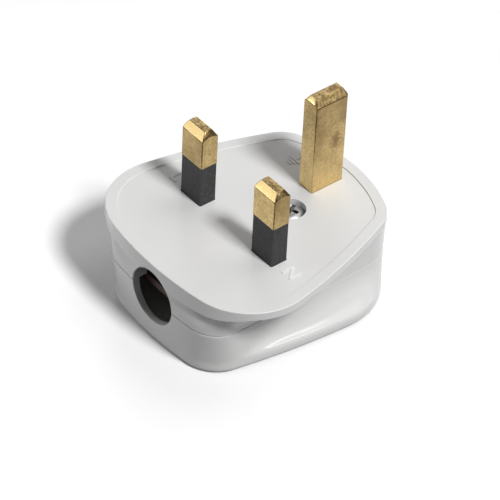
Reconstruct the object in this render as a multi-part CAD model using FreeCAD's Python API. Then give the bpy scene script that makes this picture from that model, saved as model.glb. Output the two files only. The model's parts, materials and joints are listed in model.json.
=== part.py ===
import FreeCAD
import Part
import math
import os
from collections import namedtuple

V = FreeCAD.Vector
ALONG = V(0, 1, 0)
ACROSS = V(1, 0, 0)

# A rewirable British plug lying on its back, pins up. Millimetres.
# x runs from the live pin to the neutral pin, y from the cord entry to the earth pin.
# Sizes below count y from the line of the live and neutral pins and z from the back.
FACE_Z = 19.5
SEAM_Z = 10.8
LIP_Z = 17.6
BACK_EDGE_Z = 2.7

# An outline is a ring of tangent arcs: front, corners, sides, shoulders, rear.
Outline = namedtuple(
    "Outline",
    "front corner_x corner_y corner_r side_r shoulder_x shoulder_y shoulder_r rear",
)
FACE = Outline(-20.2, 11.5, -5.5, 13.7, 130.0, 10.1, 20.8, 7.8, 30.8)
WAIST = Outline(-20.0, 11.3, -12.8, 6.6, 600.0, 10.1, 20.7, 7.65, 30.6)
BACK = Outline(-19.75, 9.5, -11.0, 8.1, 180.0, 6.7, 14.77, 14.5, 30.65)
PIN_LINE_Y = -(FACE.front + FACE.rear) / 2
FLANK_BANDS = 5
EDGE_BANDS = 2
BASE_SWEEP = math.radians(90)
COVER_SWEEP = math.radians(60)
EDGE_CHAMFER = 0.25

# Housing walls
WALL = 2.0
PLATE = 3.0
FLOOR_Z = 1.8
RIM_WIDTH = 2.3
RIM_STEP = 0.24
TAB_HEIGHT = 1.5
TAB_WIDTH = 6.0
TAB_DEPTH = 1.6
TAB_GAP = 0.1
TAB_Y = (-9.5, 14.0)
BACK_ROUND = 0.9

# Pins: width across x, depth along y, length above the face
PIN_PITCH = 22.23
PIN_X = PIN_PITCH / 2
LINE_PIN = (6.35, 3.97)
LINE_PIN_LENGTH = 17.7
EARTH_PIN = (3.97, 7.95)
EARTH_PIN_LENGTH = 22.73
PIN_EDGE = 0.25
TIP_HEIGHT = 1.75
LINE_TIP = (4.8, 1.7)
EARTH_TIP = (1.75, 6.0)
SLEEVE_WALL = 0.7
SLEEVE_TOP = 9.2
SLEEVE_ROOT = 1.5
SLOT_CLEARANCE = 0.05

# Terminals
PLATE_Z = FACE_Z - PLATE
BLOCK_Z = 8.0
NEUTRAL_BLOCK = (7.4, 6.8)
EARTH_BLOCK = (8.0, 9.0)
LIVE_HEAD = (8.0, 7.0)
WIRE_HOLE_R = 1.6
WIRE_HOLE_Z = 12.2
SCREW_R = 1.9
SCREW_STAND = 1.6
SCREW_REACH = 3.0
SLOT_WIDTH = 0.8
SLOT_DEPTH = 0.8
POCKET_WALL = 1.2
POCKET_CLEARANCE = 0.1

# Fuse, its clips and the live terminal
FUSE_Z = 8.6
FUSE_FRONT_Y = -9.2
FUSE_LENGTH = 25.4
CAP_R = 3.175
CAP_WALL = 0.225
CAP_LENGTH = 6.0
CLIP_R = 3.2
SHEET = 0.6
CLIP_WIDTH = 5.0
CLIP_MARGIN = 0.5
STRAP_Z = 12.3
STRAP_WIDTH = 5.0
TENON = (3.0, 2.4)
LIVE_BLOCK = (7.4, 6.6)
LIVE_BLOCK_Y = 20.4
LIVE_BLOCK_Z = 6.6

# Cover screw, its nut and washer
COVER_SCREW_AT = (3.0, 12.1)
COVER_SCREW_R = 2.0
COVER_HEAD_R = 2.75
COVER_HEAD_Z = 17.0
COVER_HEAD = 1.9
COVER_SINK_R = 3.05
COVER_SCREW_END_Z = 6.7
BASE_BOSS_R = 4.0
COVER_BOSS = 10.2
COVER_BOSS_Z = 9.8
WASHER = 0.8
WASHER_SIDE = 6.4
NUT_SIDE = 7.0
NUT_Z = COVER_SCREW_END_Z
NUT_HEIGHT = 3.0

# Cord entry and cord clamp
ENTRY_R = 6.0
ENTRY_COLLAR_R = 7.4
ENTRY_COLLAR_Y = -16.4
ENTRY_WALL = 1.45
CLAMP_Y = -13.2
CLAMP_SCREW_X = 9.4
CLAMP_HALF_WIDTH = 3.2
CLAMP_THICKNESS = 1.6
CLAMP_CORNER = 1.5
CLAMP_POST = 6.0
CLAMP_SCREW_R = 1.45
CLAMP_SCREW_HEAD_R = 2.6
CLAMP_HEAD = 1.8
CLAMP_SCREW_END_Z = 15.0


def unit(vector):
    return vector * (1.0 / vector.Length)


def arc(centre, radius, start, end):
    middle = centre + unit((start - centre) + (end - centre)) * radius
    return Part.Arc(start, middle, end).toShape()


def cap_radius(x, rise, r):
    """Radius of an arc centred on x = 0 that lies rise beyond a circle it touches."""
    return (x * x + rise * rise - r * r) / (2.0 * (rise - r))


def side_centre(o, corner, shoulder):
    """Centre of the side arc that touches the corner and the shoulder from outside."""
    along = shoulder - corner
    gap = along.Length
    near = o.side_r - o.corner_r
    far = o.side_r - o.shoulder_r
    a = (near * near - far * far + gap * gap) / (2.0 * gap)
    h = math.sqrt(near * near - a * a)
    direction = unit(along)
    return corner + direction * a + V(-direction.y, direction.x, 0) * h


def mirror_x(point):
    return V(-point.x, point.y, point.z)


def outline_wire(o, z):
    corner = V(o.corner_x, o.corner_y, z)
    shoulder = V(o.shoulder_x, o.shoulder_y, z)
    front_r = cap_radius(o.corner_x, o.corner_y - o.front, o.corner_r)
    rear_r = cap_radius(o.shoulder_x, o.rear - o.shoulder_y, o.shoulder_r)
    front = V(0, o.front + front_r, z)
    rear = V(0, o.rear - rear_r, z)
    side = side_centre(o, corner, shoulder)
    points = [
        corner + unit(corner - front) * o.corner_r,
        corner + unit(corner - side) * o.corner_r,
        shoulder + unit(shoulder - side) * o.shoulder_r,
        shoulder + unit(shoulder - rear) * o.shoulder_r,
    ]
    arcs = [
        (corner, o.corner_r, points[0], points[1]),
        (side, o.side_r, points[1], points[2]),
        (shoulder, o.shoulder_r, points[2], points[3]),
    ]
    right = [arc(*a) for a in arcs]
    left = [arc(mirror_x(c), r, mirror_x(q), mirror_x(p)) for c, r, p, q in reversed(arcs)]
    front_arc = arc(front, front_r, mirror_x(points[0]), points[0])
    rear_arc = arc(rear, rear_r, points[3], mirror_x(points[3]))
    return Part.Wire([front_arc] + right + [rear_arc] + left)


def blend(a, b, share):
    return Outline(*[p + (q - p) * share for p, q in zip(a, b)])


def inset(o, d):
    return o._replace(
        front=o.front + d,
        corner_r=o.corner_r - d,
        side_r=o.side_r - d,
        shoulder_r=o.shoulder_r - d,
        rear=o.rear - d,
    )


def prism(o, z0, z1):
    return Part.Face(outline_wire(o, z0)).extrude(V(0, 0, z1 - z0))


def flank(a, b, z0, z1, sweep):
    """Hollow side wall that leaves outline a upright and curves out to outline b."""
    wires = []
    for band in range(FLANK_BANDS + 1):
        turn = sweep * band / FLANK_BANDS
        share = (1 - math.cos(turn)) / (1 - math.cos(sweep))
        rise = math.sin(turn) / math.sin(sweep)
        wires.append(outline_wire(blend(a, b, share), z0 + (z1 - z0) * rise))
    return Part.makeLoft(wires, True, True)


def section(size, edge, z, at):
    """Rectangular wire round a point, with its corners taken off by edge."""
    x, y = size[0] / 2.0, size[1] / 2.0
    quarter = [(x, y - edge), (x - edge, y)] if edge else [(x, y)]
    points = []
    for sx, sy in ((1, 1), (-1, 1), (-1, -1), (1, -1)):
        turn = quarter if sx == sy else quarter[::-1]
        points += [V(at[0] + sx * p, at[1] + sy * q, z) for p, q in turn]
    return Part.makePolygon(points + points[:1])


def bar(size, edge, z0, z1, at):
    return Part.Face(section(size, edge, z0, at)).extrude(V(0, 0, z1 - z0))


def post(r, z0, z1, at):
    return Part.makeCylinder(r, z1 - z0, V(at[0], at[1], z0))


def grown(size, d):
    return (size[0] + 2 * d, size[1] + 2 * d)


def entry_cutter():
    start = V(0, FACE.front - 1.0, SEAM_Z)
    return Part.makeCylinder(ENTRY_R, ENTRY_COLLAR_Y - start.y, start, ALONG)


def base_block():
    """Pin face with its overhanging lip, and the hollow flank down to the seam."""
    lip = prism(FACE, LIP_Z, FACE_Z)
    lip = lip.makeChamfer(EDGE_CHAMFER, [e for e in lip.Edges if e.BoundBox.ZMin > FACE_Z - 1e-3])
    return flank(WAIST, FACE, SEAM_Z, LIP_Z, BASE_SWEEP).fuse(lip)


def pocket(size, z, at):
    outer = bar(grown(size, POCKET_CLEARANCE + POCKET_WALL), 0.5, z, PLATE_Z, at)
    return outer.cut(bar(grown(size, POCKET_CLEARANCE), 0, z, PLATE_Z, at))


def locating_tab(side, y):
    """Short tab on the inside of the base's wall that drops inside the cover's wall."""
    at = (side * (WAIST.corner_x + WAIST.corner_r - WALL), y)
    tab = bar((TAB_DEPTH, TAB_WIDTH), 0, SEAM_Z - TAB_HEIGHT, SEAM_Z + TAB_HEIGHT, at)
    inside = prism(inset(WAIST, WALL + TAB_GAP), SEAM_Z - TAB_HEIGHT, SEAM_Z)
    wall = prism(inset(WAIST, WALL - 0.5), SEAM_Z, SEAM_Z + TAB_HEIGHT)
    return tab.common(inside.fuse(wall))


def furniture():
    """Pockets, posts, tabs and the entry collar on the inside of the base."""
    inside = prism(inset(WAIST, WALL - 0.5), SEAM_Z, PLATE_Z)
    start = V(0, FACE.front + 1, SEAM_Z)
    collar = Part.makeCylinder(ENTRY_COLLAR_R, ENTRY_COLLAR_Y - start.y, start, ALONG)
    pieces = [
        collar.common(inside),
        post(BASE_BOSS_R, SEAM_Z, PLATE_Z, COVER_SCREW_AT),
        pocket(NEUTRAL_BLOCK, 13.0, (PIN_X, 0)).common(inside),
        pocket(LIVE_HEAD, 13.6, (-PIN_X, 0)).common(inside),
        pocket(EARTH_BLOCK, 13.0, (0, PIN_PITCH)),
        bar(grown(LIVE_BLOCK, 0.4), 0.5, STRAP_Z + SHEET, PLATE_Z, (-PIN_X, LIVE_BLOCK_Y)),
        bar((10.0, 1.0), 0.2, PLATE_Z - 1.2, PLATE_Z, (0, CLAMP_Y)),
    ]
    for side in (-1, 1):
        pieces.append(bar((CLAMP_POST, CLAMP_POST), 1.2, SEAM_Z, PLATE_Z, (side * CLAMP_SCREW_X, CLAMP_Y)))
        pieces += [locating_tab(side, y) for y in TAB_Y]
    return pieces


def base():
    room = prism(inset(WAIST, WALL), SEAM_Z - 1, PLATE_Z)
    shell = base_block().cut(room).fuse(furniture())
    slot_z = (PLATE_Z - 1, FACE_Z + 1)
    holes = [
        prism(inset(FACE, RIM_WIDTH), FACE_Z - RIM_STEP, FACE_Z + 1),
        entry_cutter(),
        post(COVER_SCREW_R + 0.1, SEAM_Z - 1, FACE_Z + 1, COVER_SCREW_AT),
        post(COVER_SINK_R, COVER_HEAD_Z, FACE_Z + 1, COVER_SCREW_AT),
        bar(grown(EARTH_PIN, SLOT_CLEARANCE), PIN_EDGE, *slot_z, (0, PIN_PITCH)),
    ]
    for side in (-1, 1):
        clamp_at = (side * CLAMP_SCREW_X, CLAMP_Y)
        holes.append(bar(grown(LINE_PIN, SLOT_CLEARANCE), PIN_EDGE, *slot_z, (side * PIN_X, 0)))
        holes.append(post(CLAMP_SCREW_R, SEAM_Z - 1, CLAMP_SCREW_END_Z + 0.2, clamp_at))
    return shell.cut(holes).removeSplitter()


def cover_block():
    """Flat back with a rounded edge, and the hollow flank up to the seam."""
    wires = [outline_wire(BACK, BACK_EDGE_Z)]
    for band in range(EDGE_BANDS + 1):
        turn = math.radians(90) * band / EDGE_BANDS
        o = inset(BACK, BACK_ROUND * (1 - math.cos(turn)))
        wires.append(outline_wire(o, BACK_ROUND * (1 - math.sin(turn))))
    back = Part.makeLoft(wires, True, True)
    return flank(WAIST, BACK, SEAM_Z, BACK_EDGE_Z, COVER_SWEEP).fuse(back)


def cover():
    room = inset(WAIST, WALL)._replace(front=WAIST.front + ENTRY_WALL)
    shell = cover_block().cut(prism(room, FLOOR_Z, SEAM_Z + 1))
    shell = shell.fuse(bar((COVER_BOSS, COVER_BOSS), 1.0, FLOOR_Z, COVER_BOSS_Z, COVER_SCREW_AT))
    for y in (FUSE_FRONT_Y + CAP_LENGTH + 2.0, FUSE_FRONT_Y + FUSE_LENGTH - CAP_LENGTH - 2.0):
        shell = shell.fuse(bar((6.0, 1.2), 0.3, FLOOR_Z, FUSE_Z - CAP_R - 0.3, (-PIN_X, y)))
    holes = [
        bar((NUT_SIDE + 0.1, NUT_SIDE + 0.1), 0, NUT_Z, SEAM_Z, COVER_SCREW_AT),
        entry_cutter(),
    ]
    return shell.cut(holes).removeSplitter()


def tip_profile(width, tip, z0, top):
    """Outline of a pin seen along one axis: straight sides, then a taper to the tip."""
    w, t = width / 2.0, tip / 2.0
    shoulder = top - TIP_HEIGHT
    return [(-w, z0), (w, z0), (w, shoulder), (t, top), (-t, top), (-w, shoulder)]


def blade(size, tip, z0, length, at):
    """Pin of rectangular section whose tip tapers on all four sides."""
    top = FACE_Z + length
    pin = bar(size, PIN_EDGE, z0, top, at)
    x0, y0 = at[0] - size[0], at[1] - size[1]
    across = [V(at[0] + p, y0, z) for p, z in tip_profile(size[0], tip[0], z0, top)]
    along = [V(x0, at[1] + p, z) for p, z in tip_profile(size[1], tip[1], z0, top)]
    for points, depth in ((across, ALONG * 2 * size[1]), (along, ACROSS * 2 * size[0])):
        pin = pin.common(Part.Face(Part.makePolygon(points + points[:1])).extrude(depth))
    return pin


def neck_ring(at):
    z0, z1 = FACE_Z - SLEEVE_ROOT, FACE_Z + SLEEVE_TOP
    outer = bar(LINE_PIN, PIN_EDGE, z0, z1, at)
    return outer.cut(bar(grown(LINE_PIN, -SLEEVE_WALL), PIN_EDGE, z0, z1, at))


def drilled_block(size, z0, z1, at, wire_z, wire_axis):
    """Terminal block with a wire hole across it and a screw hole up from below."""
    block = bar(size, 0.4, z0, z1, at)
    start = V(at[0], at[1], wire_z) - wire_axis * 8
    wire = Part.makeCylinder(WIRE_HOLE_R, 16, start, wire_axis)
    return block.cut([wire, post(SCREW_R, z0, wire_z, at)])


def earth_pin():
    at = (0, PIN_PITCH)
    pin = blade(EARTH_PIN, EARTH_TIP, PLATE_Z, EARTH_PIN_LENGTH, at)
    return pin.fuse(drilled_block(EARTH_BLOCK, BLOCK_Z, PLATE_Z, at, WIRE_HOLE_Z, ALONG))


def neutral_pin():
    at = (PIN_X, 0)
    pin = blade(LINE_PIN, LINE_TIP, PLATE_Z, LINE_PIN_LENGTH, at).cut(neck_ring(at))
    return pin.fuse(drilled_block(NEUTRAL_BLOCK, BLOCK_Z, PLATE_Z, at, WIRE_HOLE_Z, ALONG))


def live_pin():
    at = (-PIN_X, 0)
    pin = blade(LINE_PIN, LINE_TIP, PLATE_Z, LINE_PIN_LENGTH, at).cut(neck_ring(at))
    head = bar(LIVE_HEAD, 0.4, STRAP_Z + SHEET, PLATE_Z, at)
    return pin.fuse([head, bar(TENON, 0, STRAP_Z, STRAP_Z + SHEET, at)])


def fuse_clip(y0, strap_y1):
    """Strap with a sprung ring below it that opens downward for the fuse."""
    at = V(-PIN_X, y0, FUSE_Z)
    ring = Part.makeCylinder(CLIP_R + SHEET, CLIP_WIDTH, at, ALONG)
    strap = Part.makeBox(
        STRAP_WIDTH, strap_y1 - y0, SHEET, V(-PIN_X - STRAP_WIDTH / 2, y0, STRAP_Z)
    )
    mouth = Part.makeBox(4.6, CLIP_WIDTH, 6, at + V(-2.3, 0, -6))
    bore = Part.makeCylinder(CLIP_R, CLIP_WIDTH, at, ALONG)
    clip = ring.fuse(strap).cut([bore, mouth])
    for side in (-1, 1):
        lip = Part.makeBox(SHEET, CLIP_WIDTH, 1.6, V(-SHEET / 2, 0, -1.6))
        lip.rotate(V(0, 0, 0), ALONG, -side * 35)
        lip.translate(at + V(side * 2.5, 0, -2.35))
        clip = clip.fuse(lip)
    return clip.removeSplitter()


def pin_fuse_clip():
    y0 = FUSE_FRONT_Y + CLIP_MARGIN
    tenon_hole = bar(TENON, 0, STRAP_Z, STRAP_Z + SHEET, (-PIN_X, 0))
    return fuse_clip(y0, LIVE_HEAD[1] / 2).cut(tenon_hole)


def terminal_fuse_clip():
    y0 = FUSE_FRONT_Y + FUSE_LENGTH - CLIP_MARGIN - CLIP_WIDTH
    return fuse_clip(y0, LIVE_BLOCK_Y + LIVE_BLOCK[1] / 2)


def live_terminal():
    at = (-PIN_X, LIVE_BLOCK_Y)
    return drilled_block(LIVE_BLOCK, LIVE_BLOCK_Z, STRAP_Z, at, LIVE_BLOCK_Z + 3.6, ACROSS)


def fuse_body():
    start = V(-PIN_X, FUSE_FRONT_Y + CAP_WALL, FUSE_Z)
    return Part.makeCylinder(CAP_R - CAP_WALL, FUSE_LENGTH - 2 * CAP_WALL, start, ALONG)


def fuse_cap(y, direction):
    cap = Part.makeCylinder(CAP_R, CAP_LENGTH, V(-PIN_X, y, FUSE_Z), direction)
    return cap.cut(fuse_body())


def slotted(screw, r, z, at):
    """One straight slot across the lower end of a screw."""
    return screw.cut(bar((2 * r + 1, SLOT_WIDTH), 0, z - 1, z + SLOT_DEPTH, at))


def terminal_screw(z, at):
    """Headless pillar screw that stands out below its terminal block."""
    screw = post(SCREW_R, z - SCREW_STAND, z + SCREW_REACH, at)
    return slotted(screw, SCREW_R, z - SCREW_STAND, at)


def cover_screw():
    at = COVER_SCREW_AT
    head = post(COVER_HEAD_R, COVER_HEAD_Z, COVER_HEAD_Z + COVER_HEAD, at)
    rim = [e for e in head.Edges if e.BoundBox.ZMin > COVER_HEAD_Z + COVER_HEAD - 1e-6]
    head = head.makeChamfer(0.5, rim)
    top = COVER_HEAD_Z + COVER_HEAD
    recess = [bar(size, 0, top - 1.1, top + 1, at) for size in ((3.6, 0.9), (0.9, 3.6))]
    return head.cut(recess).fuse(post(COVER_SCREW_R, COVER_SCREW_END_Z, COVER_HEAD_Z, at))


def screw_retaining_washer():
    card = bar((WASHER_SIDE, WASHER_SIDE), 0.8, SEAM_Z - WASHER, SEAM_Z, COVER_SCREW_AT)
    return card.cut(post(COVER_SCREW_R, SEAM_Z - WASHER, SEAM_Z, COVER_SCREW_AT))


def cover_nut():
    nut = bar((NUT_SIDE, NUT_SIDE), 0.5, NUT_Z, NUT_Z + NUT_HEIGHT, COVER_SCREW_AT)
    return nut.cut(post(COVER_SCREW_R, NUT_Z, NUT_Z + NUT_HEIGHT, COVER_SCREW_AT))


def cord_clamp():
    length = 2 * (CLAMP_SCREW_X + CLAMP_HALF_WIDTH)
    z0 = SEAM_Z - CLAMP_THICKNESS
    strap = bar((length, 2 * CLAMP_HALF_WIDTH), CLAMP_CORNER, z0, SEAM_Z, (0, CLAMP_Y))
    holes = [post(CLAMP_SCREW_R, z0, SEAM_Z, (side * CLAMP_SCREW_X, CLAMP_Y)) for side in (-1, 1)]
    return strap.cut(holes)


def cord_clamp_screw(side):
    at = (side * CLAMP_SCREW_X, CLAMP_Y)
    z = SEAM_Z - CLAMP_THICKNESS
    head = slotted(post(CLAMP_SCREW_HEAD_R, z - CLAMP_HEAD, z, at), CLAMP_SCREW_HEAD_R, z - CLAMP_HEAD, at)
    return head.fuse(post(CLAMP_SCREW_R, z, CLAMP_SCREW_END_Z, at))


NODES = {
    "base": base(),
    "cover": cover(),
    "cover_screw": cover_screw(),
    "screw_retaining_washer": screw_retaining_washer(),
    "cover_nut": cover_nut(),
    "earth_pin": earth_pin(),
    "neutral_pin": neutral_pin(),
    "live_pin": live_pin(),
    "neutral_pin_sleeve": neck_ring((PIN_X, 0)),
    "live_pin_sleeve": neck_ring((-PIN_X, 0)),
    "earth_terminal_screw": terminal_screw(BLOCK_Z, (0, PIN_PITCH)),
    "neutral_terminal_screw": terminal_screw(BLOCK_Z, (PIN_X, 0)),
    "live_terminal_screw": terminal_screw(LIVE_BLOCK_Z, (-PIN_X, LIVE_BLOCK_Y)),
    "live_terminal": live_terminal(),
    "pin_fuse_clip": pin_fuse_clip(),
    "terminal_fuse_clip": terminal_fuse_clip(),
    "fuse_body": fuse_body(),
    "fuse_cap_pin_end": fuse_cap(FUSE_FRONT_Y, ALONG),
    "fuse_cap_terminal_end": fuse_cap(FUSE_FRONT_Y + FUSE_LENGTH, -ALONG),
    "cord_clamp": cord_clamp(),
    "cord_clamp_screw_live_side": cord_clamp_screw(-1),
    "cord_clamp_screw_neutral_side": cord_clamp_screw(1),
}

os.makedirs("parts", exist_ok=True)
for name, shape in NODES.items():
    shape.translate(V(0, PIN_LINE_Y, 0))
    shape.exportStep("parts/" + name + ".step")
    print(name, len(shape.Solids), shape.isValid(), round(shape.Volume, 2))
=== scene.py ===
"""Looks of a rewirable British plug, dressed round its CAD frame."""

import json
import math
from collections import namedtuple

import bmesh
import bpy
from bpy.props import FloatProperty, FloatVectorProperty, PointerProperty
from mathutils import Matrix, Vector
from mathutils.kdtree import KDTree


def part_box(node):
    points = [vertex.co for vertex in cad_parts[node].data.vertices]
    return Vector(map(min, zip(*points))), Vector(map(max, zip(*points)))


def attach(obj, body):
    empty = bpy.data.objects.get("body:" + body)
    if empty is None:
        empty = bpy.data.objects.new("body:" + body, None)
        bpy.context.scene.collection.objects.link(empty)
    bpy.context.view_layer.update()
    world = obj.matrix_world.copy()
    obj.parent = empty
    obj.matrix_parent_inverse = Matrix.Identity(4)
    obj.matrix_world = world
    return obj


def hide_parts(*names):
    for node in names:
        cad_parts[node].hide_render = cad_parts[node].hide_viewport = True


bl_info = {
    "name": "Three pin plug",
    "version": (1, 0, 0),
    "blender": (4, 5, 0),
    "location": "3D View > Sidebar > Plug",
    "description": "Builds the housing, pins, screw and stage of a rewirable plug",
    "category": "Object",
}

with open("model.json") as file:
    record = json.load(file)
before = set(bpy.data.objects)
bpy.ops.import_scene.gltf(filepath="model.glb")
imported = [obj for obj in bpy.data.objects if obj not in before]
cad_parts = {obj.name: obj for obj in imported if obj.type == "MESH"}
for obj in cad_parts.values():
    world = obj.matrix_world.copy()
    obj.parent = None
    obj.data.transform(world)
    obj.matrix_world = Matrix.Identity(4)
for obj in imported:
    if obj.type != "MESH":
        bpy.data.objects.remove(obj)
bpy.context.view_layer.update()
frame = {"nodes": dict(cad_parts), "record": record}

# Sizes are millimetres, z from the flat back and y from the line of the two side pins.
MM = 0.001
PIN_LINE_Y = -5.3
FACE_Z, LIP_Z, PLATE_Z, SEAM_Z, BACK_EDGE_Z, FLOOR_Z = 19.5, 17.6, 16.5, 10.8, 2.7, 1.8
CUT_PAST = 1.0

# Outlines of the housing: tangent arcs, whose first four values shape the cord end
Outline = namedtuple(
    "Outline",
    "front corner_x corner_y corner_r side_r shoulder_x shoulder_y shoulder_r rear",
)
CORNER_FIELDS = 4
FACE = Outline(-20.19, 11.5, -5.5, 13.69, 129.99, 10.1, 20.8, 7.79, 30.79)
WAIST = Outline(-20.0, 11.3, -12.8, 6.6, 600.0, 10.1, 20.7, 7.65, 30.6)
BACK = Outline(-19.75, 9.5, -11.0, 8.1, 180.0, 6.7, 14.77, 14.5, 30.65)
ARC_STEPS = (10, 20, 18, 18, 10)

# Walls: hollow flanks, finger grips, seam and the room inside
BASE_SWEEP, COVER_SWEEP = math.radians(90), math.radians(46)
FLANK_RINGS, FLANK_CURVE = 14, 1.5
FOOT_START, FOOT_STEPS = 0.5, 8
GRIP_DEPTH, GRIP_TOP, GRIP_FACING = 0.6, 1.9, (0.65, 0.92)
GRIP_NEAR, GRIP_FAR = (-12.0, -4.5), (-6.0, 10.0)
SEAM_GROOVE, SEAM_GAP = 0.6, 0.07
WALL, SKIN = 2.0, 0.05
FURNITURE_Z, FURNITURE_GAP = 8.0, 0.02

# Lip and rim, with the offsets (inwards, upwards) of their edges
LIP_DIP, DIP_FROM_Y, DIP_CURVE = 2.3, -12.5, 1.6
LIP_ARRIS = ((0.15, 0.0), (0.03, 0.06), (0.0, 0.18))
POCKET, POCKET_RISE = (0.5, 1.5), 4
POCKET_PEAK = POCKET_RISE ** POCKET_RISE / (POCKET_RISE + 1) ** (POCKET_RISE + 1)
RIM_TOP, RIM_FOOT = ((-0.05, 0.0), (0.0, -0.04)), ((0.01, 0.02), (0.03, 0.0))
# Rounds of the lip and rim that are made rougher and painted lighter as a painted highlight: height
# band, facing range and amount
LIGHTENED_BAND, LIGHTENED_FACING, LIGHTENED_EDGE = 0.3, (0.05, 0.98), 0.6

# Cord entry, with its mouth as (depth behind the wall, radius)
ENTRY_R, ENTRY_WALL = 6.0, 1.45
ENTRY_MOUTH = (
    (-2.0, 8.6), (-0.15, 6.75), (0.02, 6.36), (0.2, 6.14), (0.55, ENTRY_R), (6.0, ENTRY_R),
)

# Signs on the face
SIGN_X, EARTH_SIGN_X = 17.9, 8.0
LETTER_SIZE, LETTER_WEIGHT, SIGN_STROKE = 4.2, 0.06, 0.45
STEM_LENGTH, STEM_Y = 1.6, 0.95
BARS, BAR_LENGTH, BAR_TAPER, BAR_PITCH = 3, 3.0, 0.95, 0.75

# Pins: place, section, and the end that is cropped to shape
PIN_X, EARTH_Y = 11.115, 22.23
LINE_PIN, EARTH_PIN = (6.35, 3.97), (3.97, 7.95)
SLOT_GAP, SLOT_CORNER = 0.12, 0.25
Tip = namedtuple("Tip", "size top_size side end arch")
LINE_TIP = Tip((6.35, 3.97), (4.8, 1.7), 1.75, 1.75, 0.7)
EARTH_TIP = Tip((7.95, 3.97), (6.5, 1.75), 1.75, 1.25, 0.15)
TIP_COLUMNS, PIN_ARRIS, TIP_GAP, TIP_FACING = 9, 0.15, 0.001, 0.15
EARTH_ROOT, PIN_ROOM = 1.0, (30, 30)
MACHINED_FACING, CROPPED_FACING = 0.5, 0.2
# Painted shade on the pins: width and facing of the edge strips, and the strength and facing of the
# line pins' ends
STRIP_WIDTH, STRIP_FACING = 0.25, 0.6
END_SHADE, END_FACING = 0.85, 0.4
# Painted shade on one side of each pin: how squarely a face must look that way, and the side for
# each pin
SHADED_FACING = 0.9
SHADED_SIDE = {
    "earth_pin": Vector((1, 0, 0)),
    "neutral_pin": Vector((1, 0, 0)),
    "live_pin": Vector((0, -1, 0)),
}
SLEEVE_ROUND, SLEEVE_EDGE, SHARP = 0.08, 0.4, math.radians(20)
DUST_COLOUR = (0.32, 0.31, 0.29)

# Brass: heights in metres between which it darkens, by tarnish, by painted side shade and by
# painted edge shade, and the brown blot on the earth pin
AGED_Z, SIDE_SHADE_Z, EDGE_SHADE_Z = (0.021, 0.033), (0.022, 0.036), (0.024, 0.031)
BLOT_AT, BLOT_SIZE, BLOT_COLOUR = (1.985, 18.4, 30.4), (2.0, 1.5, 2.7), (0.19, 0.1, 0.045)

# Cover screw, and the hole that it is sunk in
SCREW_AT, SCREW_SINK_R, SCREW_HEAD_R = (3.0, 12.1), 3.05, 2.75
SCREW_SEAT_Z, SCREW_HOLE_R = 17.0, 2.1
SINK_MOUTH = ((0.0, -0.15), (0.05, -0.05), (0.18, 0.02))
POINT_R, CORE_R, THREAD_R = 1.5, 1.7, 2.0
THREAD_START, THREAD_PITCH, THREAD_CREST, SHANK = 0.2, 0.6, (0.25, 0.35), 2.4
HEAD_SIDE, DOME_RINGS, DOME_REACH, DOME_CURVE = 0.7, 9, 0.93, 0.6
RECESS = (((3.5, 0.85), 0.3), ((3.3, 0.8), -0.35), ((1.5, 0.55), -1.25))
RECESS_R, RECESS_DEPTH, RECESS_FLOOR, RECESS_FACING = 1.9, 1.5, 1.0, 0.4
SCREW_TURN = math.radians(24)

# Stage in metres, and the place of the camera in degrees and millimetres
FLOOR_SIZE, LIGHT_AIM, CAMERA_NEAR = 6.0, (0, 0, 0.02), 0.01
Lamp = namedtuple("Lamp", "name place width height power")
LAMPS = (
    Lamp("key_light", (1.22, 0.1, 1.68), 0.44, 0.44, "key_power"),
    Lamp("back_light", (-0.1, 1.4, 2.1), 1.8, 1.8, "back_power"),
    Lamp("low_light", (1.72, 0.45, 0.7), 0.6, 0.26, "low_power"),
    Lamp("front_card", (-1.1, -1.52, 0.38), 1.0, 1.0, "front_power"),
    Lamp("near_card", (-0.075, -0.115, 0.014), 0.05, 0.05, "near_power"),
    Lamp("rear_card", (-1.5, 1.2, 0.7), 1.0, 1.0, "rear_power"),
)
CAMERA_TURN = (49.2, 41.35, 3.0)
CAMERA_AIM = (0.0, 2.7, 19.5)
CAMERA_DISTANCE = 700.0
CAMERA_OFFSET = (2.93, 8.35)
CAMERA_LENS, CAMERA_SENSOR = 256.5, 36.0


# Outlines and rings

def arc_points(centre, start, end, steps):
    """Points from start up to, but without, end."""
    a, b = start - centre, end - centre
    turn = (math.atan2(b.y, b.x) - math.atan2(a.y, a.x)) % (2 * math.pi)
    return [centre + a @ Matrix.Rotation(-turn * i / steps, 2) for i in range(steps)]


def cap_radius(x, rise, r):
    """Radius of an arc centred on x = 0 that lies rise beyond a circle it touches."""
    return (x * x + rise * rise - r * r) / (2 * (rise - r))


def side_centre(o, corner, shoulder):
    """Centre of the side arc that touches the corner and the shoulder."""
    along = shoulder - corner
    near, far = o.side_r - o.corner_r, o.side_r - o.shoulder_r
    a = (near * near - far * far + along.length_squared) / (2 * along.length)
    direction = along.normalized()
    return corner + direction * a + direction.orthogonal() * math.sqrt(near * near - a * a)


def dip_share(y):
    """How far the lip's lower edge has come down on its way to the cord end."""
    return min(max((DIP_FROM_Y - y) / (DIP_FROM_Y - FACE.front), 0.0), 1.0) ** DIP_CURVE


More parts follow.
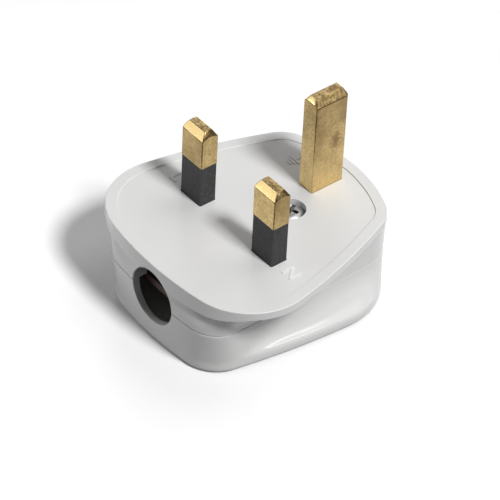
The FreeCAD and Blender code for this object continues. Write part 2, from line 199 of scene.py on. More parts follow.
def ring(o, z, dip=0.0):
    """Closed ring of points along an outline, lower at the cord end by dip, in metres."""
    corner = Vector((o.corner_x, o.corner_y))
    shoulder = Vector((o.shoulder_x, o.shoulder_y))
    front = Vector((0, o.front + cap_radius(o.corner_x, o.corner_y - o.front, o.corner_r)))
    rear = Vector((0, o.rear - cap_radius(o.shoulder_x, o.rear - o.shoulder_y, o.shoulder_r)))
    side = side_centre(o, corner, shoulder)
    joints = [
        Vector((0, o.front)),
        corner + (corner - front).normalized() * o.corner_r,
        corner + (corner - side).normalized() * o.corner_r,
        shoulder + (shoulder - side).normalized() * o.shoulder_r,
        shoulder + (shoulder - rear).normalized() * o.shoulder_r,
        Vector((0, o.rear)),
    ]
    right = []
    for k, centre in enumerate((front, corner, side, shoulder, rear)):
        right += arc_points(centre, joints[k], joints[k + 1], ARC_STEPS[k])
    left = [Vector((-p.x, p.y)) for p in reversed(right[1:])]
    points = right + [joints[-1]] + left
    return [Vector((p.x, p.y + PIN_LINE_Y, z - dip * dip_share(p.y))) * MM for p in points]


def blend(a, b, share, corner_share=None):
    """Outline between two others, whose front and corners may have a share of their own."""
    front = share if corner_share is None else corner_share
    shares = [front] * CORNER_FIELDS + [share] * (len(a) - CORNER_FIELDS)
    return Outline(*[p + (q - p) * part for p, q, part in zip(a, b, shares)])


def inset(o, d):
    """Outline that lies inside another by d."""
    return o._replace(
        front=o.front + d,
        corner_r=o.corner_r - d,
        side_r=o.side_r - d,
        shoulder_r=o.shoulder_r - d,
        rear=o.rear - d,
    )


def ease(value, low, high):
    """Goes from 0 at low to 1 at high without a kink."""
    share = min(max((value - low) / (high - low), 0.0), 1.0)
    return share * share * (3 - 2 * share)


def outward(points):
    """Level unit normals of a ring that runs anticlockwise."""
    along = [points[(k + 1) % len(points)] - points[k - 1] for k in range(len(points))]
    return [Vector((t.y, -t.x, 0)).normalized() for t in along]


def grip(points, height, rise):
    """Ring of the cover's side, drawn in above the foot where the fingers hold it."""
    depth = math.sin(min(height / GRIP_TOP, 1.0) * math.pi / 2) * (1 - ease(height, GRIP_TOP, rise))
    moved = []
    for point, normal in zip(points, outward(points)):
        y = point.y / MM - PIN_LINE_Y
        share = ease(abs(normal.x), *GRIP_FACING) * ease(y, *GRIP_NEAR) * (1 - ease(y, *GRIP_FAR))
        moved.append(point - normal * GRIP_DEPTH * MM * share * depth)
    return moved


def flank(z0):
    """Rings of the cover's side, which leaves the waist upright and curves out to the foot."""
    rise = z0 - BACK_EDGE_Z
    rings = []
    for k in range(1, FLANK_RINGS + 1):
        height = FOOT_START + (rise - FOOT_START) * (1 - k / FLANK_RINGS) ** FLANK_CURVE
        drop = 1 - height / rise
        turn = math.asin(drop * math.sin(COVER_SWEEP))
        share = (1 - math.cos(turn)) / (1 - math.cos(COVER_SWEEP))
        outline = blend(WAIST, BACK, share, drop)
        rings.append(grip(ring(outline, BACK_EDGE_Z + height), height, rise))
    return rings


def rounded(o, z, r, up, steps=4):
    """Rings of a quarter round that turns from the side of an outline onto a flat."""
    quarter = [math.pi / 2 * k / steps for k in range(steps + 1)]
    return [(inset(o, r * (1 - math.cos(t))), z + up * r * (math.sin(t) - 1)) for t in quarter]


def box_ring(size, z, at, corner=0.0):
    """Rectangular ring round a point, with its corners taken off."""
    x, y = size[0] / 2, size[1] / 2
    points = [(x, y - corner), (x - corner, y), (corner - x, y), (-x, y - corner),
              (-x, corner - y), (corner - x, -y), (x - corner, -y), (x, corner - y)]
    if not corner:
        points = points[::2]
    return [Vector((at[0] + p, at[1] + q + PIN_LINE_Y, z)) * MM for p, q in points]


def round_ring(r, z, at, steps=48):
    """Round ring about an upright axis."""
    turns = [2 * math.pi * k / steps for k in range(steps)]
    return [Vector((at[0] + r * math.cos(t), at[1] + r * math.sin(t) + PIN_LINE_Y, z)) * MM
            for t in turns]


def upright_ring(r, y, steps=72):
    """Ring round the axis of the cord entry."""
    turns = [2 * math.pi * k / steps for k in range(steps)]
    return [Vector((r * math.cos(t), y + PIN_LINE_Y, SEAM_Z + r * math.sin(t))) * MM for t in turns]


# Modelling

def only(piece):
    """Makes one object the sole selected and active one."""
    bpy.ops.object.select_all(action="DESELECT")
    piece.select_set(True)
    bpy.context.view_layer.objects.active = piece


def place_ring(piece, old, new):
    """Moves the selected ring of vertices from its old points to its new ones."""
    tree = KDTree(len(old))
    for k, point in enumerate(old):
        tree.insert(point, k)
    tree.balance()
    work = bmesh.from_edit_mesh(piece.data)
    for vert in work.verts:
        if vert.select:
            vert.co = new[tree.find(vert.co)[1]]
    bmesh.update_edit_mesh(piece.data)


def loft(name, rings):
    """Closed skin that starts as a circle and is extruded from ring to ring."""
    bpy.ops.object.select_all(action="DESELECT")
    bpy.ops.mesh.primitive_circle_add(vertices=len(rings[0]), radius=1)
    piece = bpy.context.object
    piece.name = name
    circle = [vert.co.copy() for vert in piece.data.vertices]
    if circle[0].cross(circle[1]).z < 0:
        circle.reverse()
    bpy.ops.object.mode_set(mode="EDIT")
    bpy.ops.mesh.select_all(action="SELECT")
    place_ring(piece, circle, rings[0])
    for old, new in zip(rings, rings[1:]):
        bpy.ops.mesh.extrude_edges_move()
        place_ring(piece, old, new)
    for _ in range(2):
        bpy.ops.mesh.edge_face_add()
        bpy.ops.mesh.select_all(action="DESELECT")
        bpy.ops.mesh.select_non_manifold()
    bpy.ops.mesh.select_all(action="SELECT")
    bpy.ops.mesh.normals_make_consistent(inside=False)
    bpy.ops.object.mode_set(mode="OBJECT")
    return piece


def shell(name, rings):
    """Loft through outlines at heights, or through rings of points."""
    return loft(name, [row if isinstance(row, list) else ring(*row) for row in rings])


def node_copy(node, name):
    """Copy of a CAD node with its loose triangles merged."""
    piece = frame["nodes"][node].copy()
    piece.data = piece.data.copy()
    piece.name = name
    piece.parent = None
    for key in list(piece.keys()):
        del piece[key]
    bpy.context.scene.collection.objects.link(piece)
    piece.hide_render = piece.hide_viewport = False
    piece.data.materials.clear()
    only(piece)
    bpy.ops.object.mode_set(mode="EDIT")
    bpy.ops.mesh.select_all(action="SELECT")
    bpy.ops.mesh.remove_doubles(threshold=1e-6)
    bpy.ops.mesh.customdata_custom_splitnormals_clear()
    bpy.ops.object.mode_set(mode="OBJECT")
    return piece


def join_by(piece, other, operation):
    """Cuts, keeps or adds another closed mesh, which is used up."""
    only(piece)
    modifier = piece.modifiers.new("join", "BOOLEAN")
    modifier.operation = operation
    modifier.solver = "EXACT"
    modifier.object = other
    bpy.ops.object.modifier_apply(modifier="join")
    bpy.data.objects.remove(other)


def apply_modifier(piece, kind, **values):
    """Adds a modifier with its values and applies it."""
    only(piece)
    modifier = piece.modifiers.new("finish", kind)
    for name, value in values.items():
        setattr(modifier, name, value)
    bpy.ops.object.modifier_apply(modifier="finish")


def bevel_edges(piece, wanted, width, segments=2):
    """Rounds the edges that wanted(edge) picks."""
    only(piece)
    bpy.ops.object.mode_set(mode="EDIT")
    bpy.ops.mesh.select_mode(type="EDGE")
    bpy.ops.mesh.select_all(action="DESELECT")
    work = bmesh.from_edit_mesh(piece.data)
    for edge in work.edges:
        edge.select_set(wanted(edge))
    bmesh.update_edit_mesh(piece.data)
    bpy.ops.mesh.bevel(offset=width * MM, offset_type="OFFSET", segments=segments, affect="EDGES",
                       clamp_overlap=True)
    bpy.ops.mesh.select_mode(type="VERT")
    bpy.ops.object.mode_set(mode="OBJECT")


def mark_faces(piece, name, amount):
    """Gives a face attribute the value of amount(face)."""
    work = bmesh.new()
    work.from_mesh(piece.data)
    layer = work.faces.layers.float.new(name)
    for face in work.faces:
        face[layer] = float(amount(face))
    work.to_mesh(piece.data)
    work.free()


def is_narrow(face, width=0.4):
    """Tells an edge strip from the broad faces of a piece."""
    return face.calc_area() / max(edge.calc_length() for edge in face.edges) < width * MM


def flatten_facets(piece, angle=0.5):
    """Joins triangles that lie in one plane."""
    only(piece)
    bpy.ops.object.mode_set(mode="EDIT")
    bpy.ops.mesh.select_all(action="SELECT")
    bpy.ops.mesh.dissolve_limited(angle_limit=math.radians(angle))
    bpy.ops.object.mode_set(mode="OBJECT")


def finish_piece(piece, material, stands_for=(), smooth=35):
    """Shading, finish and place of a piece that is done."""
    only(piece)
    bpy.ops.object.shade_smooth_by_angle(angle=math.radians(smooth))
    apply_modifier(piece, "WEIGHTED_NORMAL", mode="FACE_AREA", weight=80, keep_sharp=True)
    piece.data.materials.clear()
    piece.data.materials.append(material)
    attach(piece, "root")
    if stands_for:
        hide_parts(*stands_for)
    return piece


# Finishes

class Finish:
    """Short way to write a node material on object coordinates."""

    def __init__(self, name):
        self.material = bpy.data.materials.get(name) or bpy.data.materials.new(name)
        self.material.use_nodes = True
        self.tree = self.material.node_tree
        self.tree.nodes.clear()
        self.shader = self.add("ShaderNodeBsdfPrincipled")
        output = self.add("ShaderNodeOutputMaterial")
        self.join(self.shader.outputs["BSDF"], output.inputs["Surface"])
        self.place = self.add("ShaderNodeTexCoord").outputs["Object"]
        self.bump = None

    def add(self, kind, **values):
        node = self.tree.nodes.new(kind)
        for name, value in values.items():
            setattr(node, name, value)
        return node

    def join(self, source, target):
        self.tree.links.new(source, target)

    def set(self, **values):
        for name, value in values.items():
            self.shader.inputs[name.replace("_", " ")].default_value = value

    def mapped(self, scale=(1, 1, 1), at=(0, 0, 0)):
        node = self.add("ShaderNodeMapping")
        node.inputs["Location"].default_value = at
        node.inputs["Scale"].default_value = scale
        self.join(self.place, node.inputs["Vector"])
        return node.outputs["Vector"]

    def noise(self, scale, detail=4.0, roughness=0.55, distortion=0.0, vector=None):
        node = self.add("ShaderNodeTexNoise")
        for name, value in (("Scale", scale), ("Detail", detail), ("Roughness", roughness),
                            ("Distortion", distortion)):
            node.inputs[name].default_value = value
        self.join(vector or self.place, node.inputs["Vector"])
        return node.outputs["Fac"]

    def span(self, value, low, high, out_low=0.0, out_high=1.0):
        node = self.add("ShaderNodeMapRange")
        for name, number in (("From Min", low), ("From Max", high), ("To Min", out_low),
                             ("To Max", out_high)):
            node.inputs[name].default_value = number
        self.join(value, node.inputs["Value"])
        return node.outputs["Result"]

    def math(self, operation, a, b):
        node = self.add("ShaderNodeMath", operation=operation)
        for socket, value in zip(node.inputs, (a, b)):
            if isinstance(value, (int, float)):
                socket.default_value = value
            else:
                self.join(value, socket)
        return node.outputs["Value"]

    def times(self, a, b):
        return self.math("MULTIPLY", a, b)

    def mix(self, share, first, second):
        node = self.add("ShaderNodeMix", data_type="RGBA")
        self.join(share, node.inputs["Factor"])
        colours = [s for s in node.inputs if s.type == "RGBA"]
        for socket, value in zip(colours, (first, second)):
            if hasattr(value, "is_linked"):
                self.join(value, socket)
            else:
                socket.default_value = (*value[:3], 1.0)
        return [s for s in node.outputs if s.type == "RGBA"][0]

    def spot(self, at, size):
        """Distance from a place in millimetres, in parts of a size."""
        node = self.add("ShaderNodeVectorMath", operation="LENGTH")
        scale = [1 / (v * MM) for v in size]
        self.join(self.mapped(scale, [-p / v for p, v in zip(at, size)]), node.inputs[0])
        return node.outputs["Value"]

    def attribute(self, name):
        return self.add("ShaderNodeAttribute", attribute_name=name).outputs["Fac"]

    def raise_by(self, height, distance, strength=1.0):
        """Adds a bump of a given depth in metres on top of earlier ones."""
        node = self.add("ShaderNodeBump")
        node.inputs["Strength"].default_value = strength
        node.inputs["Distance"].default_value = distance
        self.join(height, node.inputs["Height"])
        if self.bump:
            self.join(self.bump, node.inputs["Normal"])
        self.bump = node.outputs["Normal"]
        for link in self.shader.inputs["Normal"].links:
            self.tree.links.remove(link)
        self.join(self.bump, self.shader.inputs["Normal"])

    def colour(self, value):
        self.join(value, self.shader.inputs["Base Color"])

    def roughness(self, value):
        self.join(value, self.shader.inputs["Roughness"])


def shade(colour, factor):
    """Lighter or darker tone of a colour."""
    return tuple(c * factor for c in colour)


def white_moulding(colour, gloss):
    """Glossy thermoset: faint clouding, a few handling marks, a very fine ripple, and marked rounds
    and signs that are rougher and painted lighter as a painted highlight.
    """
    f = Finish("white_moulding")
    f.set(IOR=1.5, Coat_Roughness=0.13)
    rubbed = f.attribute("rubbed")
    clouds = f.noise(55, 3)
    marks = f.span(f.noise(480, 8, 0.7), 0.72, 0.82)
    body = f.mix(f.span(clouds, 0.3, 0.7), shade(colour, 0.985), shade(colour, 1.012))
    body = f.mix(f.times(marks, 0.08), body, shade(colour, 0.86))
    # Marked faces are painted lighter: a painted highlight on the lip and rim rounds and on the
    # signs
    f.colour(f.mix(f.times(rubbed, 0.7), body, shade(colour, 1.08)))
    rough = f.span(f.noise(90, 2), 0.3, 0.7, gloss - 0.008, gloss + 0.008)
    f.roughness(f.math("ADD", rough, f.times(rubbed, 0.4)))
    f.join(f.span(rubbed, 0, 1, 0.35, 0.0), f.shader.inputs["Coat Weight"])
    f.raise_by(f.noise(420, 3), 0.000006, 0.4)
    return f.material


def drawn_brass(colour, tarnish):
    """Brass drawn along the pin, with speckle, brown stains, a rough cropped end, and painted shade
    on one side, the edges and the line pins' ends.
    """
    f = Finish("drawn_brass")
    f.set(Metallic=1.0)
    machined, cropped = f.attribute("machined"), f.attribute("cropped")
    lines = f.noise(1000, 6, 0.7, vector=f.mapped((1, 1, 0.07)))
    speckle = f.noise(1700, 6, 0.72)
    grains = f.noise(1500, 5, 0.75)
    stains = f.span(f.noise(250, 8, 0.72), 0.48, 0.66)
    pits = f.span(f.noise(3000, 4, 0.7), 0.56, 0.66)
    split = f.add("ShaderNodeSeparateXYZ")
    f.join(f.place, split.inputs["Vector"])
    height = split.outputs["Z"]
    aged = f.span(height, *AGED_Z, 0.3, 1.0)
    body = f.mix(f.span(lines, 0.3, 0.7), shade(colour, 0.86), shade(colour, 1.06))
    flecks = f.times(aged, f.span(speckle, 0.42, 0.6, 0.0, 0.7))
    body = f.mix(flecks, body, shade(tarnish, 1.2))
    body = f.mix(f.times(aged, f.times(stains, 0.5)), body, tarnish)
    body = f.mix(f.times(pits, 0.6), body, shade(tarnish, 0.45))
    ragged = f.math("ADD", f.spot(BLOT_AT, BLOT_SIZE), f.span(grains, 0.35, 0.65, 0.5, -0.5))
    blot = f.span(ragged, 0.25, 1.1, 0.8, 0.0)
    # Painted shade: the marked side of each pin darkens towards its top, in patches
    patches = f.span(f.noise(130, 6, 0.7), 0.3, 0.6, 0.5, 1.0)
    dull = f.times(f.span(height, *SIDE_SHADE_Z), patches)
    dull = f.times(f.attribute("dull"), dull)
    body = f.mix(f.times(dull, 0.95), body, shade(tarnish, 0.5))
    body = f.mix(blot, body, BLOT_COLOUR)
    body = f.mix(f.times(machined, 0.85), body, colour)
    torn = f.times(cropped, f.span(grains, 0.42, 0.6, 1.0, 0.15))
    body = f.mix(torn, body, shade(tarnish, 0.55))
    # Painted shade: edge strips and the line pins' ends go nearly black, more so higher up
    painted_edge_shade = f.times(f.attribute("worn"), f.span(f.noise(520, 4), 0.3, 0.6, 0.7, 1.0))
    painted_edge_shade = f.times(painted_edge_shade, f.span(height, *EDGE_SHADE_Z, 0.25, 1.0))
    f.colour(f.mix(f.times(painted_edge_shade, 0.97), body, shade(tarnish, 0.12)))
    rough = f.span(f.noise(420, 6, 0.7), 0.3, 0.7, 0.24, 0.42)
    f.roughness(f.math("SUBTRACT", rough, f.times(machined, 0.08)))
    f.raise_by(lines, 0.00002, 0.5)
    f.raise_by(speckle, 0.00003, 0.5)
    f.raise_by(f.times(cropped, grains), 0.00014, 0.8)
    return f.material


def sleeve_black(colour):
    """Matt moulded insulation with a fine grain, dust and rubbed edges."""
    f = Finish("sleeve_black")
    f.set(IOR=1.48, Specular_IOR_Level=0.35)
    grain = f.noise(1700, 6, 0.75)
    rubbed = f.span(f.noise(260, 8, 0.72, vector=f.mapped((1, 1, 0.25))), 0.5, 0.78)
    dust = f.span(f.noise(2300, 3, 0.6), 0.64, 0.72)
    body = f.mix(f.span(grain, 0.36, 0.64), shade(colour, 0.5), shade(colour, 1.45))
    body = f.mix(f.times(rubbed, 0.55), body, shade(colour, 1.9))
    edge = f.mix(f.times(f.attribute("worn"), 0.4), body, shade(colour, 2.2))
    f.colour(f.mix(f.times(dust, 0.35), edge, DUST_COLOUR))
    f.roughness(f.span(grain, 0.2, 0.8, 0.48, 0.68))
    f.raise_by(grain, 0.00004, 0.6)
    f.raise_by(rubbed, 0.00002, 0.5)
    return f.material


def zinc_plate(colour, at):
    """Bright plated steel with turning marks round an axis, dull patches, and a cross recess
    painted dark as painted shade.
    """
    f = Finish("zinc_plate")
    f.set(Metallic=1.0)
    turned = f.add("ShaderNodeTexWave", wave_type="RINGS", rings_direction="Z")
    turned.inputs["Scale"].default_value = 1500
    turned.inputs["Distortion"].default_value = 0.6
    f.join(f.mapped(at=(-at[0] * MM, -(at[1] + PIN_LINE_Y) * MM, 0)), turned.inputs["Vector"])
    dull = f.span(f.noise(700, 6, 0.7), 0.4, 0.7)
    body = f.mix(dull, shade(colour, 1.08), shade(colour, 0.72))
    # Painted shade: the cross recess is painted nearly black
    f.colour(f.mix(f.times(f.attribute("recess"), 0.85), body, shade(colour, 0.12)))
    f.roughness(f.span(f.noise(1300, 5), 0.3, 0.7, 0.3, 0.5))
    f.raise_by(turned.outputs["Fac"], 0.000015, 0.4)
    f.raise_by(f.noise(2400, 4), 0.00002, 0.4)
    return f.material


def plain_metal(name, colour, rough):
    """Sheet and turned metal inside the housing, with drawing lines and dull spots."""
    f = Finish(name)
    f.set(Metallic=1.0)
    lines = f.noise(1100, 5, 0.65, vector=f.mapped((1, 0.08, 1)))
    spots = f.span(f.noise(420, 6, 0.7), 0.45, 0.75)
    body = f.mix(f.span(lines, 0.3, 0.7), shade(colour, 0.88), shade(colour, 1.06))
    f.colour(f.mix(f.times(spots, 0.5), body, shade(colour, 0.55)))
    f.roughness(f.span(spots, 0, 1, rough - 0.06, rough + 0.14))
    f.raise_by(lines, 0.00002, 0.5)
    return f.material


def brown_fibre(colour):
    """Vulcanised fibre sheet with pressed paper strands."""
    f = Finish("brown_fibre")
    strands = f.noise(800, 8, 0.75, 1.2, f.mapped((1, 4, 1)))
    f.colour(f.mix(f.span(strands, 0.3, 0.7), shade(colour, 0.65), shade(colour, 1.35)))
    f.roughness(f.span(strands, 0.2, 0.8, 0.55, 0.8))
    f.raise_by(strands, 0.00005, 0.6)
    return f.material


def glazed_ceramic(colour):
    """Fired tube with a speckled body under a thin glaze."""
    f = Finish("glazed_ceramic")
    f.set(Coat_Weight=0.6, Coat_Roughness=0.08)
    specks = f.span(f.noise(1800, 4, 0.6), 0.62, 0.72)
    body = f.mix(f.span(f.noise(160, 4), 0.3, 0.7), shade(colour, 0.94), shade(colour, 1.04))
    f.colour(f.mix(f.times(specks, 0.4), body, shade(colour, 0.6)))
    f.roughness(f.span(specks, 0, 1, 0.3, 0.5))
    f.raise_by(f.noise(900, 4), 0.00002, 0.4)
    return f.material


def paper_floor(colour):
    """Studio paper with a barely seen tooth."""
    f = Finish("paper_floor")
    tooth = f.noise(900, 5)
    f.colour(f.mix(tooth, shade(colour, 0.995), colour))
    f.roughness(f.span(tooth, 0.2, 0.8, 0.85, 0.95))
    return f.material


# Settings

class HousingSettings(bpy.types.PropertyGroup):
    """Housing halves"""

    colour: FloatVectorProperty(
        name="Colour", description="Colour of the white moulding", subtype="COLOR", size=3,
        default=(0.63, 0.63, 0.625), min=0, max=1)
    gloss: FloatProperty(
        name="Roughness", description="Mean roughness of the moulding",
        default=0.26, min=0.05, max=1)
    lip_round: FloatProperty(
        name="Lip round", description="Radius of the pin face's outer edge",
        default=0.18 * MM, unit="LENGTH")
    rim_width: FloatProperty(
        name="Rim width", description="Width of the raised rim round the pin face",
        default=2.3 * MM, unit="LENGTH")
    rim_step: FloatProperty(
        name="Rim step", description="Depth of the pin face below its rim",
        default=0.24 * MM, unit="LENGTH")
    seam_round: FloatProperty(
        name="Seam round", description="Radius of the edges that meet at the seam",
        default=0.06 * MM, unit="LENGTH")
    sign_height: FloatProperty(
        name="Sign height", description="Height of the raised signs above the pin face",
        default=0.16 * MM, unit="LENGTH")
    foot_round: FloatProperty(
        name="Foot round", description="Height that the foot's rounded edge takes",
        default=1.0 * MM, unit="LENGTH")
    back_round: FloatProperty(
        name="Back round", description="Radius of the edge of the flat back",
        default=1.1 * MM, unit="LENGTH")


class PinSettings(bpy.types.PropertyGroup):
    """Pins, sleeves and screw"""

    brass: FloatVectorProperty(
        name="Brass", description="Colour of clean brass", subtype="COLOR", size=3,
        default=(0.82, 0.62, 0.29), min=0, max=1)
    tarnish: FloatVectorProperty(
        name="Tarnish", description="Colour of tarnished brass", subtype="COLOR", size=3,
        default=(0.38, 0.25, 0.10), min=0, max=1)
    sleeve: FloatVectorProperty(
        name="Sleeve", description="Colour of the pin insulation", subtype="COLOR", size=3,
        default=(0.028, 0.028, 0.03), min=0, max=1)
    edge_round: FloatProperty(
        name="Edge round", description="Width of the broken edges of the pins",
        default=0.2 * MM, unit="LENGTH")
    zinc: FloatVectorProperty(
        name="Zinc", description="Colour of the plated cover screw", subtype="COLOR", size=3,
        default=(0.56, 0.58, 0.59), min=0, max=1)


class StageSettings(bpy.types.PropertyGroup):
    """Floor, light and camera"""

    floor: FloatVectorProperty(
        name="Floor", description="Colour of the floor", subtype="COLOR", size=3,
        default=(0.86, 0.86, 0.86), min=0, max=1)
    key_power: FloatProperty(
        name="Key light", description="Power of the main light, high on the neutral pin's side",
        default=43.0, unit="POWER")
    back_power: FloatProperty(
        name="Back light", description="Power of the large light above and behind",
        default=14.0, unit="POWER")
    low_power: FloatProperty(
        name="Low light", description="Power of the light low on the neutral pin's side",
        default=3.7, unit="POWER")
    front_power: FloatProperty(
        name="Front card", description="Power of the weak card in front of the live pin's side",
        default=2.7, unit="POWER")
    near_power: FloatProperty(
        name="Near card", description="Power of the small card beside the cord end",
        default=0.043, unit="POWER")
    rear_power: FloatProperty(
        name="Rear card", description="Power of the weak card behind the live pin's side",
        default=8.0, unit="POWER")
    sky: FloatProperty(name="Sky", description="Strength of the even surround", default=0.12)


# Operators

class MakeBase(bpy.types.Operator):
    """Upper half of the housing: pin face, overhanging lip and hollow flank"""

    bl_idname = "plug.make_base"
    bl_label = "Base"

    def execute(self, context):
        s = context.scene.plug_housing
        r, lip, step, rim = [v / MM for v in (s.seam_round, s.lip_round, s.rim_step, s.rim_width)]
        room = inset(WAIST, WALL - SKIN / 2)
        seam = SEAM_Z + SEAM_GAP
        rings = [(room, PLATE_Z + SKIN / 2), (room, SEAM_Z)]
        rings += [(inset(WAIST, SEAM_GROOVE), z) for z in (SEAM_Z, seam)]
        rings += rounded(WAIST, seam, r, -1)[::-1]
        rings += self.wall(seam + r)
        rings += [(inset(FACE, d)._replace(front=FACE.front), LIP_Z + up, LIP_DIP)
                  for d, up in LIP_ARRIS]
        rings += rounded(FACE, FACE_Z, lip, 1, steps=6)
        rings += [(inset(FACE, rim + d), FACE_Z + up) for d, up in RIM_TOP]
        rings += [(inset(FACE, rim + d), FACE_Z - step + up) for d, up in RIM_FOOT]
        base = shell("base_housing", rings)
        for cutter in (*self.slots(), entry_cutter(), self.sink(FACE_Z - step)):
            join_by(base, cutter, "DIFFERENCE")
        # The lip and rim rounds get a painted highlight, a lighter tone, and a rougher finish
        mark_faces(base, "rubbed", lambda face: LIGHTENED_EDGE * self.on_edge(face))
        white = white_moulding(s.colour, s.gloss)
        finish_piece(base, white, ["base"])
        inside = node_copy("base", "base_furniture")
        keep = inset(WAIST, WALL - SKIN)
        join_by(inside, shell("keep", [(keep, FURNITURE_Z), (keep, PLATE_Z + SKIN)]), "INTERSECT")
        finish_piece(inside, white)
        return {"FINISHED"}

    @staticmethod
    def on_edge(face):
        """Tells the rounds of the lip and the rim from the faces beside them."""
        high = face.calc_center_median().z > (FACE_Z - LIGHTENED_BAND) * MM
        return high and LIGHTENED_FACING[0] < face.normal.z < LIGHTENED_FACING[1]

    @staticmethod
    def wall(z0):
        """Side that leaves the waist upright and hollows out under the lip."""
        rings = []
        for k in range(1, FLANK_RINGS):
            part = k / FLANK_RINGS
            rise = math.sin(BASE_SWEEP * part)
            pocket = part ** POCKET_RISE * (1 - part) / POCKET_PEAK
            o = blend(WAIST, FACE, 1 - math.cos(BASE_SWEEP * part))
            o = o._replace(
                front=WAIST.front + (FACE.front - WAIST.front) * rise,
                corner_x=o.corner_x - POCKET[0] * pocket,
                corner_y=o.corner_y + POCKET[1] * pocket)
            rings.append((o, z0 + (LIP_Z - z0) * rise, LIP_DIP * rise))
        return rings

    @staticmethod
    def slots():
        """Cutters for the holes that the pins stand in."""
        levels = (PLATE_Z - CUT_PAST, FACE_Z + CUT_PAST)
        pins = ((LINE_PIN, (-PIN_X, 0)), (LINE_PIN, (PIN_X, 0)), (EARTH_PIN, (0, EARTH_Y)))
        cutters = []
        for size, at in pins:
            hole = [v + SLOT_GAP for v in size]
            cutters.append(loft("slot", [box_ring(hole, z, at, SLOT_CORNER) for z in levels]))
        return cutters

    @staticmethod
    def sink(face_z):
        """Cutter for the screw's hole, wider above its seat and rounded at the face."""
        profile = [(SCREW_HOLE_R, SEAM_Z)]
        profile += [(r, SCREW_SEAT_Z) for r in (SCREW_HOLE_R, SCREW_SINK_R)]
        profile += [(SCREW_SINK_R + d, face_z + up) for d, up in SINK_MOUTH]
        profile.append((profile[-1][0], FACE_Z + CUT_PAST))
        return loft("sink", [round_ring(r, z, SCREW_AT) for r, z in profile])


def entry_cutter():
    """Bore of the cord entry with a rounded mouth."""
    return loft("entry", [upright_ring(r, WAIST.front + depth) for depth, r in ENTRY_MOUTH])


class MakeCover(bpy.types.Operator):
    """Lower half of the housing: flat back, flared flank and half of the cord entry"""

    bl_idname = "plug.make_cover"
    bl_label = "Cover"

    def execute(self, context):
        s = context.scene.plug_housing
        r, back = s.seam_round / MM, s.back_round / MM
        room = inset(WAIST, WALL - SKIN / 2)._replace(front=WAIST.front + ENTRY_WALL)
        seam = SEAM_Z - SEAM_GAP
        rings = [(room, FLOOR_Z - SKIN / 2), (room, SEAM_Z)]
        rings += [(inset(WAIST, SEAM_GROOVE), z) for z in (SEAM_Z, seam)]
        rings += rounded(WAIST, seam, r, 1)[::-1]
        foot = ring(BACK, BACK_EDGE_Z)
        side = flank(seam - r)
        rings += side + self.foot_edge(side[-1], foot, s.foot_round)
        rings += rounded(BACK, 0.0, back, -1, steps=6)
        cover = shell("cover_housing", rings)
        join_by(cover, entry_cutter(), "DIFFERENCE")
        white = white_moulding(s.colour, s.gloss)
        finish_piece(cover, white, ["cover"])
        inside = node_copy("cover", "cover_furniture")
        keep = inset(WAIST, WALL - SKIN)
        chamber = shell("keep", [(keep, FLOOR_Z - SKIN), (keep, SEAM_Z - FURNITURE_GAP)])
        join_by(inside, chamber, "INTERSECT")
        finish_piece(inside, white)
        return {"FINISHED"}

    @staticmethod
    def foot_edge(above, edge, drop):
        """Rings that round the edge between the flared flank and the upright foot."""
        down = Vector((0, 0, drop))
        rings = []
        for k in range(1, FOOT_STEPS + 1):
            done = k / FOOT_STEPS
            left = 1 - done
            rings.append([p * left * left + q * (1 - left * left) - down * done * done
                          for p, q in zip(above, edge)])
        return rings


class MakeFaceSigns(bpy.types.Operator):
    """Raised letters and earth sign beside the pins"""

    bl_idname = "plug.make_face_signs"
    bl_label = "Face signs"

    def execute(self, context):
        s = context.scene.plug_housing
        height = s.sign_height / MM
        floor_z = FACE_Z - s.rim_step / MM
        signs = [self.letter(body, (x, 0.0), floor_z, height)
                 for body, x in (("L", -SIGN_X), ("N", SIGN_X))]
        signs += self.earth_sign((-EARTH_SIGN_X, EARTH_Y), floor_z, height)
        bpy.ops.object.select_all(action="DESELECT")
        for sign in signs:
            sign.select_set(True)
        context.view_layer.objects.active = signs[0]
        bpy.ops.object.join()
        piece = context.object
        piece.name = piece.data.name = "face_signs"
        # The signs are painted lighter all over as a painted highlight, and made rougher
        mark_faces(piece, "rubbed", lambda face: True)
        finish_piece(piece, white_moulding(s.colour, s.gloss))
        return {"FINISHED"}

    @staticmethod
    def letter(body, at, floor_z, height):
        """Letter as a mesh, sunk a little into the face."""
        bpy.ops.object.select_all(action="DESELECT")
        bpy.ops.object.text_add()
        text = bpy.context.object
        text.data.body = body
        text.data.align_x = "CENTER"
        text.data.align_y = "CENTER"
        text.data.size = LETTER_SIZE * MM
        text.data.offset = LETTER_WEIGHT * MM
        text.data.extrude = height * MM
        bpy.ops.object.convert(target="MESH")
        place = Matrix.Translation(Vector((at[0], at[1] + PIN_LINE_Y, floor_z)) * MM)
        bpy.context.object.data.transform(place)
        return bpy.context.object

    @staticmethod
    def earth_sign(at, floor_z, height):
        """Upright stroke on three shorter and shorter bars."""
        levels = (floor_z - height, floor_z + height)
        strokes = [((SIGN_STROKE, STEM_LENGTH), STEM_Y)]
        for k in range(BARS):
            strokes.append(((BAR_LENGTH - BAR_TAPER * k, SIGN_STROKE), -BAR_PITCH * k))
        return [loft("stroke", [box_ring(size, z, (at[0], at[1] + y)) for z in levels])
                for size, y in strokes]


